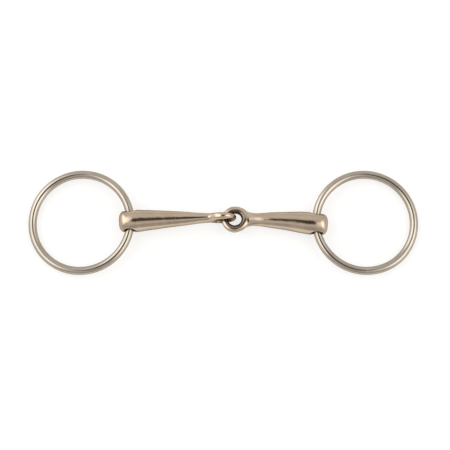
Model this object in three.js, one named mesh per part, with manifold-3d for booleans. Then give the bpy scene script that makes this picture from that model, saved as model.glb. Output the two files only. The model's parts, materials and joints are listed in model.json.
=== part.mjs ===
// Loose-ring snaffle bit with a single-jointed mouthpiece, in millimetres, +Z up.
//
// Four loose metal pieces, linked but never fixed to each other: two round cheek rings
// and two tapered half-mouthpieces (cannons). Each ring runs through a bore across the
// thick outer end of its cannon. The thin inner ends carry eyes that are linked through
// one another at right angles: the left eye stands upright, the right eye lies flat.
//
// The bit lies flat on a surface at z = 0, with +X along the mouthpiece, towards its
// right ring, and the origin under the middle of the whole bit. The bores run along Y.
import * as THREE from "three";
import { mergeVertices } from "three/addons/utils/BufferGeometryUtils.js";
import Module from "manifold-3d";

// Overall
const MOUTH_WIDTH = 127; // a five-inch bit, measured between the rings
const WIRE_RADIUS = 2.9;
const RING_OUTER_RADIUS = 38.1; // three-inch rings
const RING_RADIUS = RING_OUTER_RADIUS - WIRE_RADIUS;
const BORE_X = MOUTH_WIDTH / 2 + WIRE_RADIUS;

// Eyes
const EYE_OUTER_RADIUS = 9.4;
const EYE_HOLE_RADIUS = 4.2;
const EYE_HOLE_STRETCH = 0.5; // the hole is oval, longer than wide by this at each end
const EYE_WALL = EYE_OUTER_RADIUS - EYE_HOLE_RADIUS;
const EYE_THICKNESS = 5; // across the eye, from its neck to about its middle
const EYE_TIP_THICKNESS = 3.5;
const EYE_THINNING_START = -2; // from the middle of the eye, towards its tip

// Cannons
const THICK_RADIUS = 8; // the fat end that holds the ring
const SHOULDER = 7; // how far the fat end stays nearly cylindrical past its bore
const SHOULDER_RADIUS = 7.72;
const NECK_RADIUS = 3.15; // across the eye, just before it
const NECK_DISTANCE = 11; // from the middle of the eye to the start of the neck
const NECK_SPREAD = 1.4; // the neck's width in the eye's plane over its thickness
const ROOT_DISTANCE = 6.6; // the shank ends inside the eye's wall
const ROOT_RADIUS = 2.3;
const ROOT_SPREAD = 2.8;
const FLATTENING_LENGTH = 25; // over which the round shank turns into the oval neck
const CAP_FLAT_RADIUS = 4.5;
const CAP_CORNER = THICK_RADIUS - CAP_FLAT_RADIUS;
const BORE_RADIUS = 4.2;
const BORE_MOUTH_RADIUS = 4.7;
const BORE_MOUTH_DEPTH = 2.2;

// Resting places on the surface
const RING_TILT = Math.asin((THICK_RADIUS - WIRE_RADIUS) / (2 * RING_RADIUS));
const LEFT = {
  boreY: 0.25,
  eye: new THREE.Vector3(-0.1, 2.6, EYE_OUTER_RADIUS),
  capLength: 7.9,
  bow: 0.5,
  upright: true,
};
const RIGHT = {
  boreY: -1.8,
  eye: new THREE.Vector3(8.25, 1.4, 8.8),
  capLength: 8,
  bow: 1.1,
  upright: false,
};

// Facets
const ROUND_STEPS = 28;
const CORNER_STEPS = 4;
const SHANK_STEPS = 12;
const WIRE_STEPS = 12;
const RING_STEPS = 72;
const EYE_STEPS = 40;
const EYE_SECTION_STEPS = 14;

const wasm = await Module();
wasm.setup();

function solidOf(geometry) {
  const bare = geometry.clone();
  bare.deleteAttribute("normal");
  bare.deleteAttribute("uv");
  const merged = mergeVertices(bare, 1e-4);
  return new wasm.Manifold(
    new wasm.Mesh({
      numProp: 3,
      vertProperties: merged.attributes.position.array,
      triVerts: new Uint32Array(merged.index.array),
    }),
  );
}

function geometryOf(solid) {
  const { vertProperties, triVerts } = solid.getMesh();
  const geometry = new THREE.BufferGeometry();
  geometry.setAttribute("position", new THREE.BufferAttribute(vertProperties, 3));
  geometry.setIndex(new THREE.BufferAttribute(triVerts, 1));
  geometry.computeVertexNormals();
  return geometry;
}

// Moves every vertex of a geometry with change(vertex).
function reshape(geometry, change) {
  const position = geometry.attributes.position;
  const vertex = new THREE.Vector3();
  for (let i = 0; i < position.count; i++) {
    vertex.fromBufferAttribute(position, i);
    change(vertex);
    position.setXYZ(i, vertex.x, vertex.y, vertex.z);
  }
  return geometry;
}

function polished(color, roughness) {
  return new THREE.MeshStandardMaterial({ color, roughness, metalness: 1 });
}

// The shank runs along +X from the bore at x = 0. It is turned from the profile of its
// half-thickness, then spread in the eye's plane, XZ, towards the neck.
function shankGeometry(length, capLength) {
  const neck = length - NECK_DISTANCE;
  const root = length - ROOT_DISTANCE;
  const middleRadius = THREE.MathUtils.lerp(SHOULDER_RADIUS, NECK_RADIUS, 0.48);
  const profile = [new THREE.Vector2(0, -capLength)];
  for (let i = 0; i <= CORNER_STEPS; i++) {
    const turn = (i / CORNER_STEPS) * (Math.PI / 2);
    const radius = CAP_FLAT_RADIUS + CAP_CORNER * Math.sin(turn);
    const along = -capLength + CAP_CORNER * (1 - Math.cos(turn));
    profile.push(new THREE.Vector2(radius, along));
  }
  const side = new THREE.SplineCurve([
    new THREE.Vector2(THICK_RADIUS, 0),
    new THREE.Vector2(SHOULDER_RADIUS, SHOULDER),
    new THREE.Vector2(middleRadius, (SHOULDER + neck) / 2),
    new THREE.Vector2(NECK_RADIUS, neck),
    new THREE.Vector2(ROOT_RADIUS, root),
  ]);
  profile.push(...side.getPoints(SHANK_STEPS));
  profile.push(new THREE.Vector2(0, root));
  const shank = new THREE.LatheGeometry(profile, ROUND_STEPS);
  shank.rotateZ(-Math.PI / 2);
  return reshape(shank, (vertex) => {
    const { x } = vertex;
    const flattening = THREE.MathUtils.smoothstep(x, neck - FLATTENING_LENGTH, neck);
    const flare = THREE.MathUtils.clamp((x - neck) / (root - neck), 0, 1);
    vertex.z *= 1 + (NECK_SPREAD - 1) * flattening + (ROOT_SPREAD - NECK_SPREAD) * flare ** 2;
  });
}

// The eye is a ring in the XZ plane with an oval section that thins towards its tip.
function eyeGeometry(length) {
  const middle = EYE_HOLE_RADIUS + EYE_WALL / 2;
  const eye = new THREE.TorusGeometry(middle, EYE_WALL / 2, EYE_SECTION_STEPS, EYE_STEPS);
  reshape(eye, (vertex) => {
    const radius = Math.hypot(vertex.x, vertex.y);
    const hole = EYE_HOLE_RADIUS + EYE_HOLE_STRETCH * (vertex.x / radius) ** 2;
    const throughWall = (radius - EYE_HOLE_RADIUS) / EYE_WALL;
    const widening = THREE.MathUtils.lerp(hole, EYE_OUTER_RADIUS, throughWall) / radius;
    vertex.x *= widening;
    vertex.y *= widening;
    const thinning = THREE.MathUtils.smoothstep(vertex.x, EYE_THINNING_START, EYE_OUTER_RADIUS);
    vertex.z *= THREE.MathUtils.lerp(EYE_THICKNESS, EYE_TIP_THICKNESS, thinning) / EYE_WALL;
  });
  eye.rotateX(Math.PI / 2);
  eye.translate(length, 0, 0);
  return eye;
}

// A hole along Y, flared where it breaks out of the thick end at each side.
function boreGeometry() {
  const flareStart = THICK_RADIUS - BORE_MOUTH_DEPTH;
  const end = THICK_RADIUS + BORE_MOUTH_DEPTH;
  const endRadius = 2 * BORE_MOUTH_RADIUS - BORE_RADIUS;
  const profile = [
    new THREE.Vector2(0, -end),
    new THREE.Vector2(endRadius, -end),
    new THREE.Vector2(BORE_RADIUS, -flareStart),
    new THREE.Vector2(BORE_RADIUS, flareStart),
    new THREE.Vector2(endRadius, end),
    new THREE.Vector2(0, end),
  ];
  return new THREE.LatheGeometry(profile, ROUND_STEPS);
}

// A cannon around its bore, with the middle of its eye at `reach`. The shank bows a
// little towards +Y on its way there, and the bore stays along Y.
function cannonGeometry({ capLength, bow, upright }, reach) {
  const length = reach.length();
  const forward = reach.clone().normalize();
  const sideways = new THREE.Vector3(0, 0, 1).cross(forward).normalize();
  const aim = new THREE.Matrix4().makeBasis(forward, sideways, forward.clone().cross(sideways));
  const parts = [shankGeometry(length, capLength), eyeGeometry(length)].map((geometry) => {
    geometry.rotateX(upright ? 0 : Math.PI / 2);
    geometry.applyMatrix4(aim);
    reshape(geometry, (vertex) => {
      const along = THREE.MathUtils.clamp(vertex.dot(forward) / length, 0, 1);
      vertex.y += bow * 4 * along * (1 - along);
    });
    return solidOf(geometry);
  });
  return geometryOf(parts[0].add(parts[1]).subtract(solidOf(boreGeometry())));
}

// One side of the bit: a cannon and its ring, which both sit at the bore.
function addSide(bit, name, side, { boreY, eye, ...shape }) {
  const bore = new THREE.Vector3(side * BORE_X, boreY, THICK_RADIUS);
  const pivot = new THREE.Group();
  pivot.position.copy(bore);

  const reach = eye.clone().sub(bore);
  const cannon = new THREE.Mesh(cannonGeometry(shape, reach), polished(0xc2b8a6, 0.22));
  cannon.name = name + "_cannon";
  pivot.add(cannon);

  const wire = new THREE.TorusGeometry(RING_RADIUS, WIRE_RADIUS, WIRE_STEPS, RING_STEPS);
  const ring = new THREE.Mesh(wire, polished(0xbdb3a2, 0.18));
  ring.name = name + "_ring";
  ring.position.x = side * RING_RADIUS;
  const swing = new THREE.Group();
  swing.rotation.order = "ZYX";
  swing.rotation.y = side * RING_TILT;
  swing.rotation.z = -side * Math.asin(boreY / RING_RADIUS);
  swing.add(ring);
  pivot.add(swing);

  bit.add(pivot);
}

const bit = new THREE.Group();
addSide(bit, "left", -1, LEFT);
addSide(bit, "right", 1, RIGHT);

export default bit;
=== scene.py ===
import json
import math

import bpy
import numpy as np
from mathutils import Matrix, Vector


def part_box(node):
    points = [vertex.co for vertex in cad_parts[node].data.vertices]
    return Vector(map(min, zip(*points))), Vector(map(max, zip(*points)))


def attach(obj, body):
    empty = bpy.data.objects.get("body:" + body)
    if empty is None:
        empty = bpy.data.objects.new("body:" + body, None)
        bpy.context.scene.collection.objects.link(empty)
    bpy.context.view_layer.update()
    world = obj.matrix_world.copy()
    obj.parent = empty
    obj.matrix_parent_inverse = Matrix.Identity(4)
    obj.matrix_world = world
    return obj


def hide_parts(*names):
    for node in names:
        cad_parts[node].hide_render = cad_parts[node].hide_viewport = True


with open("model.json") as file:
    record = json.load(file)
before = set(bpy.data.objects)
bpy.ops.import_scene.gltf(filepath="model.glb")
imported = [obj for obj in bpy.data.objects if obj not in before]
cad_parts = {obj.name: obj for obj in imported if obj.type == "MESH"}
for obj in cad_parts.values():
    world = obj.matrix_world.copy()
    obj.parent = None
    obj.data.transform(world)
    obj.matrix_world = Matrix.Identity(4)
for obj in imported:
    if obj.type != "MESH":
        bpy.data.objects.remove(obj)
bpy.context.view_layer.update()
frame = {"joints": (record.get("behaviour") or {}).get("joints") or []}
JOINTS = {joint["name"]: joint for joint in frame["joints"]}
MM = 0.001

# ---------------------------------------------------------------- sizes, in millimetres
WIRE_RADIUS = 2.9
RING_RADIUS = 35.2
EYE_OUTER = 9.4
EYE_HOLE = 4.2
EYE_HOLE_STRETCH = 0.5  # the hole is oval, longer than wide by this at each end
EYE_HALF = 2.55  # half of the eye's thickness, from its neck to about its middle
EYE_TIP_HALF = 2.0
EYE_THINNING_START = -2  # from the middle of the eye, towards its tip
BORE_RADIUS = 4.2
BORE_FLARE = 0.5
LEFT_EYE_Y = 2.6

LEFT_BORE = np.array(JOINTS["left_ring_swing"]["pos_m"]) / MM
RIGHT_BORE = np.array(JOINTS["right_ring_swing"]["pos_m"]) / MM
FOLD = np.array(JOINTS["mouthpiece_fold"]["pos_m"]) / MM
LEFT_EYE = np.array([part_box("left_cannon")[1][0] / MM - EYE_OUTER, LEFT_EYE_Y, EYE_OUTER])
RIGHT_EYE = FOLD + [(EYE_OUTER + EYE_HOLE + EYE_HOLE_STRETCH) / 2, 0, 0]

# (distance from the bore, half-width) of each shank, across its eye and in its eye's plane.
LEFT_ACROSS = [
    (-8, 7.6), (-3, 7.8), (0, 7.92), (4, 8.0), (7, 7.78), (12, 7.33), (18, 6.82), (24, 6.28),
    (30, 5.75), (36, 5.18), (41, 4.71), (46, 4.15), (50, 3.76), (54, 3.4), (58, 3.08),
    (61, 2.86), (66, 2.4),
]
LEFT_IN_PLANE = [
    (-8, 6.2), (-6.5, 6.58), (-5, 6.92), (-3.5, 7.22), (-2, 7.47), (0, 7.76), (2, 7.96),
    (4, 8.0), (7, 7.76), (12, 7.3), (18, 6.76), (24, 6.22), (30, 5.68), (36, 5.22), (41, 4.9),
    (46, 4.68), (50, 4.56), (54, 4.55), (56, 4.7), (58, 5.3), (61, 6.2), (66, 6.4),
]
RIGHT_IN_PLANE = [
    (-9, 7.6), (-3, 7.82), (1, 7.96), (5, 8.0), (8, 7.86), (12, 7.5), (17, 7.0), (22.6, 6.42),
    (28.3, 5.95), (31.2, 5.68), (34, 5.35), (37, 5.03), (40, 4.72), (43, 4.64), (46, 4.8),
    (48.6, 5.35), (51.5, 6.2), (57, 6.4),
]
RIGHT_ACROSS = [
    (-9, 6.1), (-7, 6.52), (-5, 6.92), (-3.5, 7.2), (-2, 7.46), (0, 7.76), (2, 7.96),
    (4, 8.0), (8, 7.8), (12, 7.46), (17, 7.02), (22.6, 6.5), (28.3, 5.93), (31, 5.63),
    (34, 5.26), (37, 4.78), (40, 4.25),
    (43, 3.7), (46, 3.17), (49, 2.64), (52, 2.1), (55, 1.6), (57, 1.4),
]


# ------------------------------------------------------------------ smooth solid shapes
def smooth(x, low, high):
    """0 below low, 1 above high, eased in between."""
    t = np.clip((x - low) / (high - low), 0, 1)
    return t * t * (3 - 2 * t)


def smooth_max(a, b, k):
    """The larger of two distances, with the edge between them rounded over about k."""
    h = np.clip(0.5 + 0.5 * (a - b) / k, 0, 1)
    return b + (a - b) * h + k * h * (1 - h)


def smooth_min(a, b, k):
    return -smooth_max(-a, -b, k)


def along_profile(stations, x):
    """Cubic interpolation through (distance, radius) stations."""
    xs, ys = np.array(stations, float).T
    slopes = np.gradient(ys, xs)
    i = np.clip(np.searchsorted(xs, x) - 1, 0, len(xs) - 2)
    h = xs[i + 1] - xs[i]
    t = np.clip((x - xs[i]) / h, 0, 1)
    return (
        (1 + 2 * t) * (1 - t) ** 2 * ys[i]
        + t * (1 - t) ** 2 * h * slopes[i]
        + t * t * (3 - 2 * t) * ys[i + 1]
        + t * t * (t - 1) * h * slopes[i + 1]
    )


def hand_finish(p):
    """The slight waviness that grinding and polishing by hand leave, in millimetres."""
    x, y, z = p
    return (
        0.030 * np.sin(0.31 * x + 0.9 * np.sin(0.23 * y + 1) + 0.7)
        + 0.022 * np.sin(0.52 * x - 0.41 * z + 0.37 * y + 2.1)
        + 0.014 * np.sin(0.95 * x + 0.6 * y - 0.7 * z)
    )


def cannon_shape(bore, eye, in_plane, across, upright, cap, cap_corner, bow):
    """A function that is negative inside the cannon, for points (3, n) in mm in the row frame.

    cap is how far the end lies beyond the bore, with its edge rounded over cap_corner, and
    bow is how far the shank bows towards +Y, all in mm."""
    reach = eye - bore
    length = np.linalg.norm(reach)
    forward = reach / length
    sideways = np.cross([0, 0, 1], forward)
    sideways /= np.linalg.norm(sideways)
    rise = np.cross(forward, sideways)
    wide, thin = (rise, sideways) if upright else (sideways, rise)

    def shape(p):
        q = p - bore[:, None]
        part_way = np.clip(forward @ q / length, 0, 1)
        straight = q.copy()
        straight[1] -= bow * 4 * part_way * (1 - part_way)
        x, w, t = forward @ straight, wide @ straight, thin @ straight

        half_width, half_thick = along_profile(in_plane, x), along_profile(across, x)
        shank = np.hypot(w / half_width, t / half_thick) - 1
        shank = shank * np.minimum(half_width, half_thick) + hand_finish(p)
        shank = smooth_max(shank, -cap - x, cap_corner)
        shank = smooth_max(shank, x - (length - 5.4), 0.8)

        to_tip = x - length
        out = np.hypot(to_tip, w)
        hole = EYE_HOLE + EYE_HOLE_STRETCH * (to_tip / np.maximum(out, 0.1)) ** 2
        half_wall = (EYE_OUTER - hole) / 2
        half = EYE_HALF + (EYE_TIP_HALF - EYE_HALF) * smooth(to_tip, EYE_THINNING_START, EYE_OUTER)
        over = np.abs(out - EYE_OUTER + half_wall) / half_wall
        up = np.abs(t) / half
        ring = (over**2.2 + up**2.2) ** (1 / 2.2) - 1
        ring = ring * np.minimum(half_wall, half) + 0.6 * hand_finish(p)
        body = smooth_min(shank, ring, 1.6)
        body = smooth_max(body, hole - out, 0.5)

        # The bore stays along Y, whatever the shank's direction.
        flare = BORE_FLARE * smooth(np.abs(q[1]), 4.9, 7.9)
        bored = np.hypot(q[0], q[2]) - BORE_RADIUS - flare
        return smooth_max(body, -bored, 0.7)

    return shape


def gradient(shape, p, step=0.02):
    slope = np.empty_like(p)
    for axis in range(3):
        shift = np.zeros((3, 1))
        shift[axis] = step
        slope[axis] = (shape(p + shift) - shape(p - shift)) / (2 * step)
    return slope


def surface_of(shape, low, high, pitch):
    """Vertices (3, n) in mm and quads of the surface where shape is 0, by surface nets."""
    axes = [np.arange(a, b + pitch, pitch) for a, b in zip(low, high)]
    grid = np.stack(np.meshgrid(*axes, indexing="ij"))
    size = grid.shape[1:]
    value = shape(grid.reshape(3, -1)).reshape(size)
    inside = value < 0

    cells = tuple(n - 1 for n in size)
    total, count = np.zeros((3,) + cells), np.zeros(cells)
    edges = []
    for axis in range(3):
        head = [slice(None)] * 3
        tail = [slice(None)] * 3
        head[axis], tail[axis] = slice(1, None), slice(0, -1)
        a, b = value[tuple(tail)], value[tuple(head)]
        crosses = inside[tuple(tail)] != inside[tuple(head)]
        share = np.where(crosses, a / np.where(crosses, a - b, 1), 0)
        point = grid[(slice(None),) + tuple(tail)].copy()
        point[axis] += share * pitch
        others = [k for k in range(3) if k != axis]
        for du in (0, 1):
            for dv in (0, 1):
                pick = [slice(None)] * 3
                pick[others[0]] = slice(du, du + cells[others[0]])
                pick[others[1]] = slice(dv, dv + cells[others[1]])
                pick = tuple(pick)
                hit = crosses[pick]
                total += np.where(hit, point[(slice(None),) + pick], 0)
                count += hit
        edges.append((axis, others, crosses, inside[tuple(tail)]))

    # One vertex in each cell that the surface crosses, at the mean of its crossings.
    used = count > 0
    number = np.full(cells, -1)
    number[used] = np.arange(used.sum())
    points = total[:, used] / count[used]
    quads = []
    for axis, (u, v), crosses, starts_inside in edges:
        where = np.argwhere(crosses)
        keep = (where[:, u] > 0) & (where[:, v] > 0)
        keep &= (where[:, u] < size[u] - 1) & (where[:, v] < size[v] - 1)
        where = where[keep]
        corner = []
        for du, dv in ((1, 1), (0, 1), (0, 0), (1, 0)):
            cell = where.copy()
            cell[:, u] -= du
            cell[:, v] -= dv
            corner.append(number[tuple(cell.T)])
        quad = np.stack(corner, 1)
        flip = starts_inside[tuple(where.T)] ^ (axis == 1)
        quads.append(np.where(flip[:, None], quad, quad[:, ::-1]))
    # A few Newton steps settle the vertices on the surface itself.
    for _ in range(4):
        slope = gradient(shape, points)
        step = shape(points) / np.maximum((slope**2).sum(0), 1e-4)
        points = points - slope * np.clip(step, -pitch, pitch)
    return points, np.concatenate(quads)


def piece(name, points, faces, body, node, material, marks):
    """A smooth mesh from points (3, n) in mm, riding on a body in place of its CAD node."""
    mesh = bpy.data.meshes.new(name)
    mesh.from_pydata((points.T * MM).tolist(), [], faces.tolist())
    mesh.shade_smooth()
    for mark, values in marks.items():
        layer = mesh.attributes.new(mark, "FLOAT", "POINT")
        layer.data.foreach_set("value", values.astype(np.float32))
    mesh.validate()
    thing = bpy.data.objects.new(name, mesh)
    bpy.context.scene.collection.objects.link(thing)
    thing.data.materials.append(material)
    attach(thing, body)
    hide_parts(node)
    return thing


# ---------------------------------------------------------------------------- materials
def polished_metal(name, light, dark, roughness, fine_scale):
    """Warm polished metal: cloudy tone, fine scratches, wear, and painted shade, near black, in
    recesses, with some dull tarnish there.
    """
    material = bpy.data.materials.new(name)
    material.use_nodes = True
    nodes, links = material.node_tree.nodes, material.node_tree.links
    nodes.clear()

    def add(kind, **settings):
        node = nodes.new(kind)
        for key, value in settings.items():
            if key in node.inputs.keys():
                node.inputs[key].default_value = value
            else:
                setattr(node, key, value)
        return node

    def ramp(source, low, high):
        node = add("ShaderNodeMapRange", interpolation_type="SMOOTHSTEP")
        node.inputs["From Min"].default_value = low
        node.inputs["From Max"].default_value = high
        links.new(source, node.inputs["Value"])
        return node.outputs["Result"]

    def maths(operation, a, b):
        node = add("ShaderNodeMath", operation=operation)
        for socket, value in zip(node.inputs, (a, b)):
            if isinstance(value, (int, float)):
                socket.default_value = value
            else:
                links.new(value, socket)
        return node.outputs[0]

    def mix(factor, a, b):
        node = add("ShaderNodeMix", data_type="RGBA")
        links.new(factor, node.inputs["Factor"])
        for socket, value in (("A", a), ("B", b)):
            target = [s for s in node.inputs if s.name == socket and s.type == "RGBA"][0]
            if isinstance(value, tuple):
                target.default_value = value + (1,)
            else:
                links.new(value, target)
        return [s for s in node.outputs if s.type == "RGBA"][0]

    place = add("ShaderNodeTexCoord").outputs["Object"]
    clouds = add("ShaderNodeTexNoise", Scale=70.0, Detail=4.0, Roughness=0.6)
    links.new(place, clouds.inputs["Vector"])
    grain = add("ShaderNodeTexNoise", Scale=fine_scale, Detail=5.0, Roughness=0.7)
    links.new(place, grain.inputs["Vector"])

    directions = (
        (0.35, (60, 1400, 1400)),
        (1.25, (1300, 70, 1300)),
        (2.3, (90, 1500, 1100)),
    )
    scratches = None
    for turn, stretch in directions:
        mapping = add("ShaderNodeMapping")
        mapping.inputs["Rotation"].default_value = (turn, 0.4 * turn, turn)
        mapping.inputs["Scale"].default_value = stretch
        links.new(place, mapping.inputs["Vector"])
        lines = add("ShaderNodeTexNoise", Scale=1.0, Detail=2.0, Roughness=0.5)
        links.new(mapping.outputs["Vector"], lines.inputs["Vector"])
        line = ramp(lines.outputs["Fac"], 0.66, 0.74)
        scratches = line if scratches is None else maths("MAXIMUM", scratches, line)

    # Painted shade: the colour goes near black in the bore and the eye's hole, where shade falls;
    # it also gets rougher there, like dull tarnish.
    recess_shade = add("ShaderNodeAttribute", attribute_name="recess_shade").outputs["Fac"]
    shade_and_tarnish = maths("MULTIPLY", recess_shade, ramp(grain.outputs["Fac"], 0.1, 0.5))
    tone = mix(ramp(clouds.outputs["Fac"], 0.32, 0.68), light, dark)
    tone = mix(maths("MULTIPLY", shade_and_tarnish, 0.92), tone, (0.025, 0.017, 0.011))
    tone = mix(maths("MULTIPLY", scratches, 0.12), tone, (0.93, 0.87, 0.80))

    rough = maths("ADD", roughness, maths("MULTIPLY", clouds.outputs["Fac"], 0.07))
    rough = maths("ADD", rough, maths("MULTIPLY", scratches, 0.12))
    rough = maths("ADD", rough, maths("MULTIPLY", shade_and_tarnish, 0.3))

    height = maths("MULTIPLY", grain.outputs["Fac"], 0.25)
    height = maths("SUBTRACT", height, maths("MULTIPLY", scratches, 0.5))
    bump = add("ShaderNodeBump", Strength=0.05, Distance=0.00004)
    links.new(height, bump.inputs["Height"])

    shader = add("ShaderNodeBsdfPrincipled", Metallic=1.0)
    links.new(tone, shader.inputs["Base Color"])
    links.new(rough, shader.inputs["Roughness"])
    shader.inputs["Specular Tint"].default_value = (0.30, 0.27, 0.24, 1)
    links.new(bump.outputs["Normal"], shader.inputs["Normal"])
    links.new(shader.outputs["BSDF"], add("ShaderNodeOutputMaterial").inputs["Surface"])
    return material


RING_METAL = polished_metal("ring_metal", (0.49, 0.435, 0.37), (0.43, 0.375, 0.31), 0.08, 900)
MOUTH_METAL = polished_metal("mouth_metal", (0.56, 0.455, 0.35), (0.50, 0.40, 0.30), 0.10, 800)


# ------------------------------------------------------------------------------- pieces
def make_cannon(side, bore, eye, in_plane, across, upright, cap, cap_corner, bow):
    shape = cannon_shape(bore, eye, in_plane, across, upright, cap, cap_corner, bow)
    low, high = (np.array(corner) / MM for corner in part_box(side + "_cannon"))
    pitch = 0.27
    points, quads = surface_of(shape, low - 1.3, high + 1.3, pitch)
    # Masks for painted shade, with some tarnish, inside the bore and inside the eye's hole.
    from_bore = points - bore[:, None]
    in_bore = 1 - smooth(np.hypot(from_bore[0], from_bore[2]), 4.2, 5.1)
    from_eye = points - eye[:, None]
    flat = np.hypot(from_eye[0], from_eye[2] if upright else from_eye[1])
    in_eye = 1 - smooth(flat, 5.8, 6.8)
    if upright:
        # Less painted shade in the half of the hole that is nearer to the neck.
        in_eye = in_eye * (0.3 + 0.7 * smooth(from_eye[0], -3, -0.5))
    marks = {"recess_shade": np.maximum(in_bore, in_eye)}
    node = side + "_cannon"
    piece(side + "_half_mouthpiece", points, quads, node, node, MOUTH_METAL, marks)


def make_ring(side, sign, bore, weld_at):
    """Bent wire, a little uneven from the bending, closed by a weld at an angle in degrees."""
    turns, around = ((288, 48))
    tilt = sign * math.asin((bore[2] - WIRE_RADIUS) / (2 * RING_RADIUS))
    yaw = -sign * math.asin(bore[1] / RING_RADIUS)
    a = np.linspace(0, 2 * np.pi, turns, endpoint=False)[:, None]
    b = np.linspace(0, 2 * np.pi, around, endpoint=False)[None, :]
    uneven = 0.05 * np.sin(2 * a + 0.8) + 0.035 * np.sin(3 * a - sign) + 0.02 * np.sin(7 * a + 2)
    from_weld = (a - math.radians(weld_at)) * RING_RADIUS
    weld = np.exp(-((from_weld / 1.1) ** 2))
    wire = WIRE_RADIUS - 0.03 + 0.012 * np.sin(5 * a + 1.3) + 0.018 * weld
    out = RING_RADIUS + uneven + wire * np.cos(b)
    x, y, z = out * np.cos(a) + sign * RING_RADIUS, out * np.sin(a), wire * np.sin(b)
    x, z = math.cos(tilt) * x + math.sin(tilt) * z, math.cos(tilt) * z - math.sin(tilt) * x
    x, y = math.cos(yaw) * x - math.sin(yaw) * y, math.sin(yaw) * x + math.cos(yaw) * y
    points = np.stack([x.ravel(), y.ravel(), z.ravel()]) + bore[:, None]

    here = np.arange(turns * around).reshape(turns, around)
    after, beside = np.roll(here, -1, 0), np.roll(here, -1, 1)
    quads = np.stack([here, after, np.roll(after, -1, 1), beside], -1).reshape(-1, 4)
    # Painted shade on the stretch of wire that runs through the cannon's bore.
    near_bore = np.abs(points[0] - bore[0]) < 12
    shade_in_bore = np.exp(-((np.abs(points[1] - bore[1]) / 7.5) ** 4)) * near_bore
    marks = {"recess_shade": 0.5 * shade_in_bore}
    node = side + "_ring"
    piece(side + "_cheek_ring", points, quads, node, node, RING_METAL, marks)


make_cannon(
    "left", LEFT_BORE, LEFT_EYE, LEFT_IN_PLANE, LEFT_ACROSS,
    upright=True, cap=7.95, cap_corner=5.0, bow=0.5,
)
make_cannon(
    "right", RIGHT_BORE, RIGHT_EYE, RIGHT_IN_PLANE, RIGHT_ACROSS,
    upright=False, cap=8.05, cap_corner=5.2, bow=1.1,
)
make_ring("left", -1, LEFT_BORE, 222)
make_ring("right", 1, RIGHT_BORE, 318)


# -------------------------------------------------------------------------------- stage
def stage_floor():
    """Pale paper that glows a little, so that shadows on it stay faint."""
    half_size = 6.0
    height = -0.0002
    mesh = bpy.data.meshes.new("floor")
    signs = ((-1, -1), (1, -1), (1, 1), (-1, 1))
    corners = [(a * half_size, b * half_size, height) for a, b in signs]
    mesh.from_pydata(corners, [], [(0, 1, 2, 3)])
    floor = bpy.data.objects.new("floor", mesh)
    bpy.context.scene.collection.objects.link(floor)
    material = bpy.data.materials.new("floor_paper")
    material.use_nodes = True
    shader = material.node_tree.nodes["Principled BSDF"]
    shader.inputs["Base Color"].default_value = (0.34, 0.34, 0.34, 1)
    shader.inputs["Roughness"].default_value = 0.9
    shader.inputs["Specular IOR Level"].default_value = 0.1
    shader.inputs["Emission Color"].default_value = (1.0, 0.995, 0.985, 1)
    shader.inputs["Emission Strength"].default_value = 0.68
    floor.data.materials.append(material)


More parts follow.
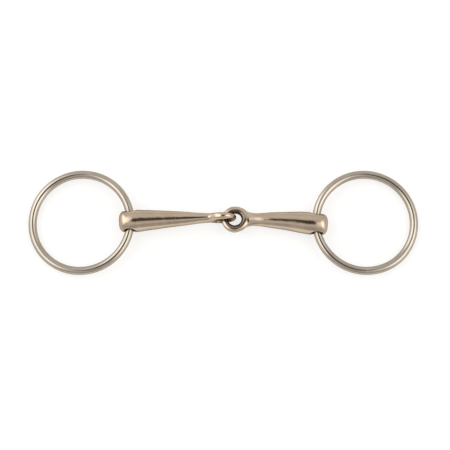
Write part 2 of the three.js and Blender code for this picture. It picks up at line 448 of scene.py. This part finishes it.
def studio_sky():
    """A pale tent with a soft light at each side, the dark of the camera's opening overhead
    and a dimmer front."""
    world = bpy.data.worlds.new("studio")
    bpy.context.scene.world = world
    world.use_nodes = True
    nodes, links = world.node_tree.nodes, world.node_tree.links
    nodes.clear()

    def maths(operation, *values):
        node = nodes.new("ShaderNodeMath")
        node.operation = operation
        for socket, value in zip(node.inputs, values):
            if isinstance(value, (int, float)):
                socket.default_value = value
            else:
                links.new(value, socket)
        return node.outputs[0]

    def lobe(centre, half, inner):
        """1 inside an ellipse of directions, 0 outside it, softened from inner outwards."""
        u = maths("DIVIDE", maths("SUBTRACT", x, centre[0]), half[0])
        v = maths("DIVIDE", maths("SUBTRACT", y, centre[1]), half[1])
        far = maths("SQRT", maths("ADD", maths("MULTIPLY", u, u), maths("MULTIPLY", v, v)))
        node = nodes.new("ShaderNodeMapRange")
        node.interpolation_type = "SMOOTHSTEP"
        node.inputs["From Min"].default_value = 1.0
        node.inputs["From Max"].default_value = inner
        links.new(far, node.inputs["Value"])
        return node.outputs["Result"]

    split = nodes.new("ShaderNodeSeparateXYZ")
    links.new(nodes.new("ShaderNodeTexCoord").outputs["Generated"], split.inputs[0])
    x, y = split.outputs["X"], split.outputs["Y"]
    level = 0.64
    lamps = (
        (0.24, ((0.0, 0.72), (0.9, 0.45), 0.3)),
        (0.26, ((0.0, -0.6), (0.5, 0.22), 0.3)),
        (0.55, ((-0.62, 0.12), (0.50, 0.80), 0.6)),
        (0.55, ((0.62, -0.2), (0.48, 0.60), 0.55)),
        (0.90, ((-0.60, 0.14), (0.36, 0.80), 0.5)),
        (0.85, ((0.64, 0.02), (0.34, 0.70), 0.5)),
    )
    for strength, place in lamps:
        level = maths("ADD", level, maths("MULTIPLY", lobe(*place), strength))
    front = maths("MULTIPLY", lobe((0.0, -0.8), (0.3, 0.5), 0.4), 0.2)
    level = maths("MULTIPLY", level, maths("SUBTRACT", 1.0, front))
    opening = lobe((0.0, -0.02), (0.32, 0.37), 0.66)
    tint = nodes.new("ShaderNodeCombineColor")
    for socket, pale, dark in zip(tint.inputs, (1.0, 0.99, 0.97), (0.15, 0.11, 0.075)):
        share = maths("SUBTRACT", pale, maths("MULTIPLY", opening, pale - dark))
        links.new(maths("MULTIPLY", level, share), socket)
    background = nodes.new("ShaderNodeBackground")
    background.inputs["Strength"].default_value = 1.0
    links.new(tint.outputs[0], background.inputs["Color"])
    links.new(background.outputs[0], nodes.new("ShaderNodeOutputWorld").inputs["Surface"])


def softbox(name, place, aim, size, power):
    light = bpy.data.lights.new(name, "AREA")
    light.shape = "RECTANGLE"
    light.size, light.size_y = size
    light.energy = power
    light.color = (1.0, 0.985, 0.96)
    lamp = bpy.data.objects.new(name, light)
    lamp.location = place
    lamp.rotation_euler = (Vector(aim) - Vector(place)).to_track_quat("-Z", "Y").to_euler()
    bpy.context.scene.collection.objects.link(lamp)


def camera():
    """Looks down on the bit from the front, nearly from straight above."""
    elevation, distance = math.radians(77.8), 1.1516
    aim = Vector((0.00123, -0.00174, 0.005))
    lens = bpy.data.cameras.new("camera")
    lens.sensor_width = 36
    lens.lens = 36 * 1610.5 / 450
    lens.clip_start, lens.clip_end = 0.05, 20
    eye = bpy.data.objects.new("camera", lens)
    back = Vector((0, -math.cos(elevation), math.sin(elevation)))
    eye.location = aim + back * distance
    eye.rotation_euler = (-back).to_track_quat("-Z", "Y").to_euler()
    bpy.context.scene.collection.objects.link(eye)
    bpy.context.scene.camera = eye


stage_floor()
studio_sky()
softbox("key", (-1.1, 0.3, 1.0), (0, 0, 0), (1.2, 1.2), 0.6)
softbox("fill", (1.1, -0.2, 1.0), (0, 0, 0), (1.2, 1.2), 0.6)
camera()
bpy.context.scene.view_settings.view_transform = "Standard"
